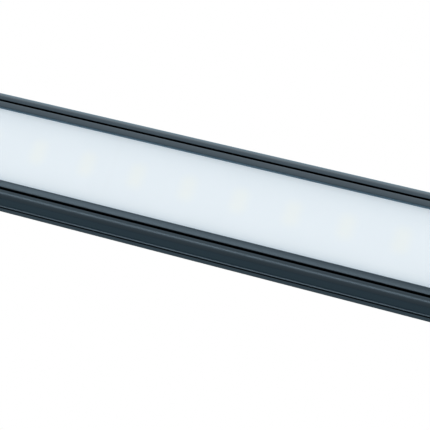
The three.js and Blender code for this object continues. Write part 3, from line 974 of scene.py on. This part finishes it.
def makeTransformer():
    low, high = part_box("driver_transformer")
    inset = Vector((mm(transformer["bar"]), 0, mm(transformer["leg"])))
    through = Vector((0, mm(1), 0))
    core, window, winding = bmesh.new(), bmesh.new(), bmesh.new()
    addBlock(core, low, high)
    addBlock(window, low + inset - through, high - inset + through)
    keepPiece(combined(core, window), "transformerCore", "lamp", ["driver_transformer"], edge=0.35)
    gap = Vector([mm(size) for size in transformer["windingGap"]])
    below = Vector((0, mm(transformer["windingBelowTop"]), 0))
    addBlock(winding, low + inset + gap, high - inset - gap - below)
    edge = transformer["windingEdge"]
    keepPiece(winding, "transformerWinding", "lamp", slot="winding_tape", edge=edge, steps=6)


choke = {
    "drum": [
        (0, 0), (3.7, 0), (4.0, -0.25), (4.0, -0.8), (2.6, -0.8), (2.6, -3.2), (4.0, -3.2),
        (4.0, -4.0), (0, -4.0),
    ],
    "turns": 22,
    "pitch": 0.11,
    "coilTop": -0.85,
    "coilEnd": -3.16,
    "coilBore": 2.65,
    "coilRadius": 3.3,
    "ripple": 0.25,
}


def makeChoke():
    spot = nodeMiddle("driver_choke")
    spot.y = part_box("driver_choke")[1].y
    drum = spun(choke["drum"])
    bmesh.ops.transform(drum, matrix=aim((0, 1, 0), spot), verts=drum.verts)
    keepPiece(drum, "chokeDrum", "lamp", slot="ferrite", edge=0.12, angle=40)
    top, bore = choke["coilTop"], choke["coilBore"]
    turns = [
        (choke["coilRadius"] + choke["ripple"] * math.sin(math.pi * step / 2), top - choke["pitch"] * step)
        for step in range(choke["turns"])
    ]
    coil = spun([(bore, top)] + turns + [(bore, choke["coilEnd"])], closed=True)
    bmesh.ops.transform(coil, matrix=aim((0, 1, 0), spot), verts=coil.verts)
    keepPiece(coil, "chokeWinding", "lamp", ["driver_choke"], angle=60)


# Leads run out along the board, then down through it into a cone of solder.
leadShape = {
    "radius": 0.28,
    "sunk": 0.2,
    "solder": 0.85,
    "solderHeight": 0.6,
    "solderTip": 0.35,
}


def addTube(bm, points, radius):  # a bent lead through points, with round joints
    for start, end in zip(points, points[1:]):
        addRod(bm, end - start, (start + end) / 2, radius, 1000 * (end - start).length, sides=16)
    for point in points[1:-1]:
        ball = bmesh.ops.create_icosphere(bm, subdivisions=2, radius=mm(radius))
        bmesh.ops.translate(bm, verts=ball["verts"], vec=point)


def addLead(bm, start, bend, radius=leadShape["radius"], solder=leadShape["solder"]):
    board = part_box("driver_board")[1].y
    addTube(bm, [start, bend, Vector((bend.x, board - mm(leadShape["sunk"]), bend.z))], radius)
    base = Vector((bend.x, board + mm(0.25), bend.z))
    addRod(bm, (0, 1, 0), base, solder, leadShape["solderHeight"], sides=24, tip=leadShape["solderTip"])


capacitor = {
    "can": [
        (0, 0), (1.75, 0), (2.0, -0.08), (2.1, -0.3), (2.1, -8.6), (1.85, -9.0), (1.85, -9.2),
        (2.1, -9.6),
    ],
    "leadInside": 0.1,
    "leadOffset": 0.9,
    "leadRun": 1.3,
}


def makeCapacitor(leads, name, node, way):  # way is the side its leads are on
    low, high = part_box(node)
    length = 1000 * (high.x - low.x)
    bm = spun(capacitor["can"] + [(2.1, 0.25 - length), (1.8, -length), (0, -length)])
    middle = nodeMiddle(node)
    reach = Vector(((high.x - low.x) / 2, 0, 0))
    bmesh.ops.transform(bm, matrix=aim((-way, 0, 0), middle - way * reach), verts=bm.verts)
    keepPiece(bm, name, "lamp", [node], angle=40)
    base = middle + way * reach
    for level in (-1, 1):
        start = base + Vector((mm(-capacitor["leadInside"] * way), 0, mm(level * capacitor["leadOffset"])))
        addLead(leads, start, start + Vector((mm(capacitor["leadRun"] * way), 0, 0)))


fuse = {
    "tubeRadius": 1.08,
    "tubeInset": 0.1,
    "ferruleRadius": 1.2,
    "ferruleLength": 1.6,
    "leadInside": 0.2,
    "leadRun": 1.1,
}


def makeFuse(leads):
    middle = nodeMiddle("driver_fuse")
    low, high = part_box("driver_fuse")
    half = 500 * (high.x - low.x)
    radius, inset = fuse["tubeRadius"], fuse["tubeInset"]
    tube = spun([(0, half - inset), (radius, half - inset), (radius, inset - half), (0, inset - half)])
    bmesh.ops.transform(tube, matrix=aim((1, 0, 0), middle), verts=tube.verts)
    keepPiece(tube, "fuseTube", "lamp", ["driver_fuse"], edge=0.1)
    ferrules = bmesh.new()
    for way in (-1, 1):
        end = middle + Vector((mm(way * (half - fuse["ferruleLength"] / 2)), 0, 0))
        addRod(ferrules, (1, 0, 0), end, fuse["ferruleRadius"], fuse["ferruleLength"])
        start = middle + Vector((mm(way * (half - fuse["leadInside"])), 0, 0))
        addLead(leads, start, start + Vector((mm(way * fuse["leadRun"]), 0, 0)))
    keepPiece(ferrules, "fuseFerrules", "lamp", slot="plated_screw", edge=0.2)


def makeDriver():
    makeCradle()
    makeTransformer()
    makeChoke()
    leads = bmesh.new()
    makeCapacitor(leads, "inputCapacitor", "driver_capacitor_input", -1)
    makeCapacitor(leads, "outputCapacitor", "driver_capacitor_output", 1)
    makeFuse(leads)
    keepPiece(leads, "componentLeads", "lamp", slot="plated_screw", angle=50)


smallParts = {
    "sizes": [  # x, z, length, width, height
        (-22, 2, 4.7, 3.9, 1.4), (-21, -4.5, 3.2, 1.6, 0.6), (-26, -4.5, 3.2, 1.6, 0.6),
        (24.5, 4.6, 4.4, 2.6, 2.0), (3, 3.4, 2.0, 1.25, 0.6), (3, 5.6, 2.0, 1.25, 0.6),
        (41, 4.5, 4.4, 2.6, 2.0), (42, -4.5, 3.2, 1.6, 0.6), (-33.5, -4.2, 4.4, 2.6, 2.0),
        (24, -5.0, 2.0, 1.25, 0.6),
    ],
}


def makeSmallParts():  # the surface-mounted parts of the driver board
    board = 1000 * (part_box("driver_board")[1].y - frontY)
    bm = bmesh.new()
    for x, z, length, width, height in smallParts["sizes"]:
        low = place(mm(x - length / 2), board, z - width / 2)
        high = place(mm(x + length / 2), board + height, z + width / 2)
        addBlock(bm, low, high)
    keepPiece(bm, "driverSmallParts", "lamp", slot="ferrite", edge=0.12, steps=2)


makeDriver()
makeSmallParts()
print("driver built")


ledPackage = {
    "wall": 0.35,
    "step": 0.12,
    "recess": 0.22,
}


def makeLedPackages():
    names = sorted(name for name in nodes if name.startswith("led_") and name[4:].isdigit())
    for name in names:
        low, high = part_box(name)
        bm = bmesh.new()
        addBlock(bm, low, high)
        front = min(bm.faces, key=lambda face: face.calc_center_median().y)
        bmesh.ops.inset_individual(bm, faces=[front], thickness=mm(ledPackage["wall"]))
        bmesh.ops.inset_individual(bm, faces=[front], thickness=mm(ledPackage["step"]),
                                   depth=-mm(ledPackage["recess"]))
        keepPiece(bm, "ledPackage" + name[4:], "lamp", [name], edge=0.08, steps=2)


linkConnector = {
    "grooveZ": 1.7,
    "groove": (8, 1, 1.2),
}


def makeLinkConnector():
    low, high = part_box("board_link_connector")
    bm = bmesh.new()
    addBlock(bm, low, high)
    grooves = bmesh.new()
    middle = (low + high) / 2
    half = Vector([mm(size / 2) for size in linkConnector["groove"]])
    for way in (-1, 1):
        spot = Vector((middle.x, low.y, middle.z + mm(way * linkConnector["grooveZ"])))
        addBlock(grooves, spot - half, spot + half)
    keepPiece(combined(bm, grooves), "boardLinkConnector", "lamp", ["board_link_connector"], edge=0.15)


wires = {
    "names": {
        "live_wire": "liveWire",
        "neutral_wire": "neutralWire",
        "led_wire_positive": "ledWirePositive",
        "led_wire_negative": "ledWireNegative",
    },
    "ways": {"live_wire": 1, "neutral_wire": 1, "led_wire_positive": -1, "led_wire_negative": -1},
    "coreRadius": 0.42,
    "coreInside": 0.5,
    "coreRun": 1.3,
    "solder": 1.25,
}


def makeWires():
    for node, name in wires["names"].items():
        bm = bmesh.new()
        bm.from_mesh(nodes[node].data)
        bmesh.ops.remove_doubles(bm, verts=bm.verts, dist=mm(0.01))
        bmesh.ops.dissolve_limit(bm, angle_limit=math.radians(1), verts=bm.verts, edges=bm.edges)
        bmesh.ops.recalc_face_normals(bm, faces=bm.faces)
        keepPiece(bm, name, "lamp", [node], angle=50)


def makeWireJoints():  # stripped wire ends soldered to the driver board
    bm = bmesh.new()
    for node, way in wires["ways"].items():  # way is the side its joint is on
        corners = [vert.co for vert in nodes[node].data.vertices]
        reach = max(way * corner.x for corner in corners)
        rim = [corner for corner in corners if reach - way * corner.x < mm(0.3)]
        end = sum(rim, Vector()) / len(rim)
        end.x = way * reach
        start = end - Vector((mm(wires["coreInside"] * way), 0, 0))
        bend = end + Vector((mm(wires["coreRun"] * way), 0, 0))
        addLead(bm, start, bend, wires["coreRadius"], wires["solder"])
    keepPiece(bm, "wireSolderJoints", "lamp", slot="plated_screw", angle=50)


makeLedPackages()
makeLinkConnector()
makeWires()
makeWireJoints()
print("light engine and wires built")
